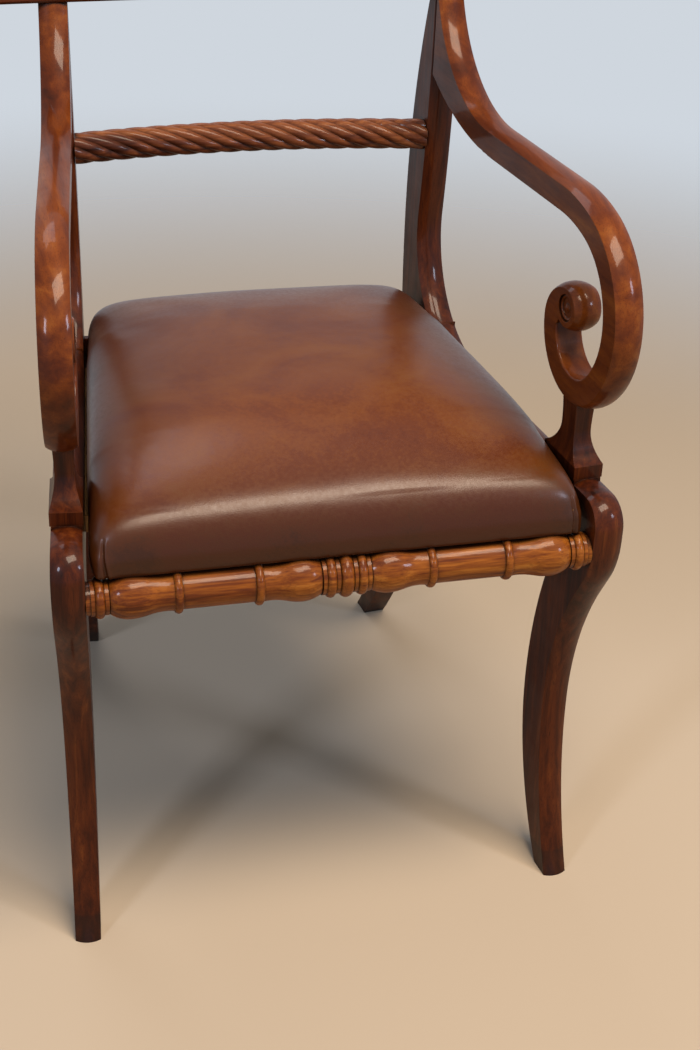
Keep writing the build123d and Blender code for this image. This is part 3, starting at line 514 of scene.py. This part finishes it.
def blowUp(cover):
    # The leather swells over its stuffing, held along its lower edge, and no point moves further than
    # the cap.
    rest = [v.co.copy() for v in cover.data.vertices]
    held = cover.vertex_groups.new(name="held")
    for i, point in enumerate(rest):
        height = point.z - seatLow.z
        held.add([i], max(0.0, min(1.0, (seat["heldTo"] - height) / seat["heldFade"])), "REPLACE")
    cloth = cover.modifiers.new("blow", "CLOTH")
    cloth.settings.quality = 5
    cloth.settings.mass = seat["mass"]
    cloth.settings.tension_stiffness = seat["stretchStiffness"]
    cloth.settings.compression_stiffness = seat["stretchStiffness"]
    cloth.settings.bending_stiffness = seat["bendStiffness"]
    cloth.settings.use_pressure = True
    cloth.settings.uniform_pressure_force = seat["pressure"]
    cloth.settings.vertex_group_mass = "held"
    cloth.settings.effector_weights.gravity = 0
    cloth.point_cache.frame_start = 1
    cloth.point_cache.frame_end = seat["frames"]
    for step in range(1, seat["frames"] + 1):
        scene.frame_set(step)
    swollen = cover.evaluated_get(bpy.context.evaluated_depsgraph_get()).to_mesh()
    moved = [v.co.copy() for v in swollen.vertices]
    cover.modifiers.remove(cloth)
    scene.frame_set(1)
    furthest = 0.0
    for vert, start, end in zip(cover.data.vertices, rest, moved):
        way = end - start
        furthest = max(furthest, way.length)
        if way.length > seat["cap"]:
            way *= seat["cap"] / way.length
        vert.co = start + way
    cover.vertex_groups.clear()
    relax(cover, rounds=9, lowest=0.024, margin=1.0)
    relax(cover, rounds=20, lowest=0.020, margin=0.11)
    print("cover swelled by up to", round(furthest * 1000, 2), "mm")


# Folds where the leather is gathered round the front corners. The turns are those of the fold at the hem
# and at its top, about the corner's centre, in degrees.
folds = {
    "left": {"corner": 3, "hemTurn": -103, "topTurn": -121, "reach": 0.027, "width": 0.0015,
             "depth": 0.0022},
    "right": {"corner": 0, "hemTurn": -70, "topTurn": -70, "reach": 0.034, "width": 0.0014,
              "depth": 0.0020},
}
# Shared by both: how far past its reach a fold runs out, the band of mesh that is made finer for it, and
# the raised lip beside it, in shares of its depth and width.
foldShared = {"runOut": 1.4, "turnOut": 1.3, "nearest": 0.006, "below": -0.004, "finer": (0.012, 0.008),
              "lip": 0.35, "lipAt": 2.2}


def foldCorners(cover):
    shared = foldShared
    mesh = bmesh.new()
    mesh.from_mesh(cover.data)
    for fold in folds.values():
        centre = seatCorners(seat["corner"])[fold["corner"]]
        top = fold["reach"] * shared["runOut"]

        def acrossFold(point):
            height = point.z - seatLow.z
            way = min(max(height / fold["reach"], 0), shared["turnOut"])
            turn = math.radians(fold["hemTurn"] + (fold["topTurn"] - fold["hemTurn"]) * way)
            outward = Vector((math.cos(turn), math.sin(turn)))
            offset = point.xy - centre
            if offset.dot(outward) < shared["nearest"] or height < shared["below"] or height > top:
                return None, outward, height
            return offset.dot(Vector((-outward.y, outward.x))), outward, height

        for reach in shared["finer"]:
            near = set()
            for vert in mesh.verts:
                across = acrossFold(vert.co)[0]
                if across is not None and abs(across) < reach:
                    near.add(vert)
            edges = [edge for edge in mesh.edges if edge.verts[0] in near and edge.verts[1] in near]
            bmesh.ops.subdivide_edges(mesh, edges=edges, cuts=1, use_grid_fill=True)
        for vert in mesh.verts:
            across, outward, height = acrossFold(vert.co)
            if across is None:
                continue
            fade = max(0.0, 1 - (max(height, 0.0) / top) ** 2)
            side = across / fold["width"]
            groove = math.exp(-side ** 2) - shared["lip"] * math.exp(-(side - shared["lipAt"]) ** 2)
            dent = fold["depth"] * fade * groove
            vert.co.x -= outward.x * dent
            vert.co.y -= outward.y * dent
    mesh.to_mesh(cover.data)
    mesh.free()


def finishCover(cover):
    smooth = cover.modifiers.new("smooth", "SUBSURF")
    smooth.levels = 1
    smooth.render_levels = 1
    applyAll(cover)
    foldCorners(cover)
    data = cover.data
    edge = data.attributes.new("edge", "FLOAT", "POINT")
    for i, vert in enumerate(data.vertices):
        if vert.co.z - seatLow.z > seat["rippleFrom"]:
            spot = Vector((vert.co.x * seat["ripples"], vert.co.y * seat["ripples"], seat["seed"]))
            vert.co.z += seat["ripple"] * noise.noise(spot)
        # Edge: nearness to the rim plus a share towards the back, darkening the leather as glaze and as
        # painted shade.
        side = seatHalf(vert.co.y, 0) - abs(vert.co.x)
        inward = min(side, vert.co.y - seatLow.y, seatHigh.y - vert.co.y)
        depth = (vert.co.y - seatLow.y) / (seatHigh.y - seatLow.y)
        edge.data[i].value = math.exp(-max(inward, 0.0) / seat["rim"]) + seat["backGlazeAndShade"] * depth
    data.polygons.foreach_set("use_smooth", [True] * len(data.polygons))
    data.materials.clear()
    data.materials.append(tanLeather)


cover = seatCover()
evenMesh(cover)
blowUp(cover)
finishCover(cover)
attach(cover, "drop_in_seat")
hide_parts("seat_leather", "seat_stuffing")
print("seat cover ready:", len(cover.data.polygons), "faces")


# Bottom cloth, tacked tight under the seat. Sizes in metres.

bottom = {"inset": 0.0241, "thick": 0.0005, "across": 40, "along": 40, "sag": 0.0004, "waves": (9, 4)}
clothLow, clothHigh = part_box("seat_bottom_cloth")


def bottomCloth():
    corners = seatCorners(bottom["inset"])
    wavesAcross, wavesAlong = bottom["waves"]
    level = clothHigh.z - bottom["thick"] * 0.1
    mesh = bmesh.new()
    rows = []
    for j in range(bottom["along"] + 1):
        v = j / bottom["along"]
        left, right = corners[3].lerp(corners[2], v), corners[0].lerp(corners[1], v)
        row = []
        for i in range(bottom["across"] + 1):
            u = i / bottom["across"]
            flat = left.lerp(right, u)
            wave = abs(math.sin(wavesAcross * u + wavesAlong * v))
            dip = bottom["sag"] * math.sin(math.pi * u) * math.sin(math.pi * v) * wave
            row.append(mesh.verts.new((flat.x, flat.y, level - dip)))
        rows.append(row)
    for lower, upper in zip(rows, rows[1:]):
        for i in range(bottom["across"]):
            mesh.faces.new((lower[i], upper[i], upper[i + 1], lower[i + 1]))
    data = bpy.data.meshes.new("bottom_cloth")
    mesh.to_mesh(data)
    mesh.free()
    data.polygons.foreach_set("use_smooth", [True] * len(data.polygons))
    data.materials.append(bottomCotton)
    cloth = bpy.data.objects.new("bottom_cloth", data)
    scene.collection.objects.link(cloth)
    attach(cloth, "drop_in_seat")
    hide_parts("seat_bottom_cloth")


bottomCloth()
print("bottom cloth ready")


# Stage: a pale floor that fades into a pale, cooler surround. Sizes in metres.

stage = {"floor": "#c2b39e", "surround": "#cfd6de", "ambient": 0.12, "radius": 2.8, "fadeFrom": 0.9,
         "fadeTo": 2.6}


def floorPaper(name):
    # Matt paper, thinning out to nothing
    material, tree, shader = newMaterial(name)
    place = add(tree, "ShaderNodeTexCoord").outputs["Object"]
    away = add(tree, "ShaderNodeVectorMath", {0: place}, operation="LENGTH")
    fade = add(tree, "ShaderNodeMapRange", {
        0: away, 1: stage["fadeFrom"], 2: stage["fadeTo"], 3: 1.0, 4: 0.0}, interpolation_type="SMOOTHSTEP")
    tree.links.new(fade.outputs[0], shader.inputs["Alpha"])
    shader.inputs["Base Color"].default_value = linear(stage["floor"])
    shader.inputs["Roughness"].default_value = 0.9
    shader.inputs["Specular IOR Level"].default_value = 0.2
    return material


def studioFloor():
    mesh = bmesh.new()
    bmesh.ops.create_circle(mesh, cap_ends=True, segments=96, radius=stage["radius"])
    data = bpy.data.meshes.new("studio_floor")
    mesh.to_mesh(data)
    mesh.free()
    data.materials.append(floorPaper("backdrop_paper_pale"))
    ground = bpy.data.objects.new("studio_floor", data)
    scene.collection.objects.link(ground)


def surround():
    # The camera and reflections see it pale, and it lights the chair only faintly.
    world = bpy.data.worlds.new("studio")
    world.use_nodes = True
    tree = world.node_tree
    tree.nodes.clear()
    rays = add(tree, "ShaderNodeLightPath").outputs
    mirrored = add(tree, "ShaderNodeMath", {0: rays["Is Glossy Ray"], 1: rays["Is Transmission Ray"]},
                   operation="ADD")
    seen = add(tree, "ShaderNodeMath", {0: rays["Is Camera Ray"], 1: mirrored}, operation="ADD",
               use_clamp=True)
    strength = add(tree, "ShaderNodeMapRange", {0: seen, 3: stage["ambient"], 4: 1.0})
    back = add(tree, "ShaderNodeBackground", {"Color": linear(stage["surround"]), "Strength": strength})
    add(tree, "ShaderNodeOutputWorld", {"Surface": back})
    scene.world = world


studioFloor()
surround()

# Two cool windows in front, left and right, a warm lamp above and a soft light behind:
# place, size, power and colour. All face the middle of the chair.
lights = {
    "left_window": ((-2.1, -2.0, 1.9), (0.42, 0.6), 26, "#dde8ff"),
    "right_window": ((2.2, -2.1, 1.9), (0.42, 0.6), 24, "#dde8ff"),
    "warm_lamp": ((0.45, -1.05, 2.7), (1.6, 0.9), 88, "#ffe9d0"),
    "rear_fill": ((-0.4, 1.6, 3.0), (1.4, 1.0), 16, "#f4f6ff"),
}
chairMiddle = Vector((0, 0, 0.45))


def light(name, place, size, power, colour):
    data = bpy.data.lights.new(name, "AREA")
    data.shape = "RECTANGLE"
    data.size, data.size_y = size
    data.energy = power
    data.color = linear(colour)[:3]
    lamp = bpy.data.objects.new(name, data)
    lamp.location = place
    lamp.rotation_euler = (chairMiddle - Vector(place)).to_track_quat("-Z", "Y").to_euler()
    scene.collection.objects.link(lamp)


for name, settings in lights.items():
    light(name, *settings)

# Camera at the photograph's place: turned to the right, looking down, and tipped a little. The focal
# length is in pixels of a picture this high.
view = {"place": (-0.32976, -1.51251, 1.18600), "yaw": 0.26143, "pitch": 0.52258, "roll": 0.03865,
        "focal": 1731.578, "imageHeight": 1050, "sensor": 36}


def camera():
    yaw, pitch, roll = view["yaw"], view["pitch"], view["roll"]
    forward = Vector((math.sin(yaw) * math.cos(pitch), math.cos(yaw) * math.cos(pitch), -math.sin(pitch)))
    level = Vector((math.cos(yaw), -math.sin(yaw), 0))
    upright = level.cross(forward)
    right = math.cos(roll) * level + math.sin(roll) * upright
    up = math.cos(roll) * upright - math.sin(roll) * level
    data = bpy.data.cameras.new("photo_view")
    data.sensor_fit = "VERTICAL"
    data.sensor_height = view["sensor"]
    data.lens = view["focal"] / view["imageHeight"] * view["sensor"]
    data.clip_end = 50
    made = bpy.data.objects.new("photo_view", data)
    turned = Matrix((right, up, -forward)).transposed().to_4x4()
    made.matrix_world = Matrix.Translation(view["place"]) @ turned
    scene.collection.objects.link(made)
    scene.camera = made


camera()
scene.view_settings.view_transform = "Standard"
print("stage, light and camera ready")
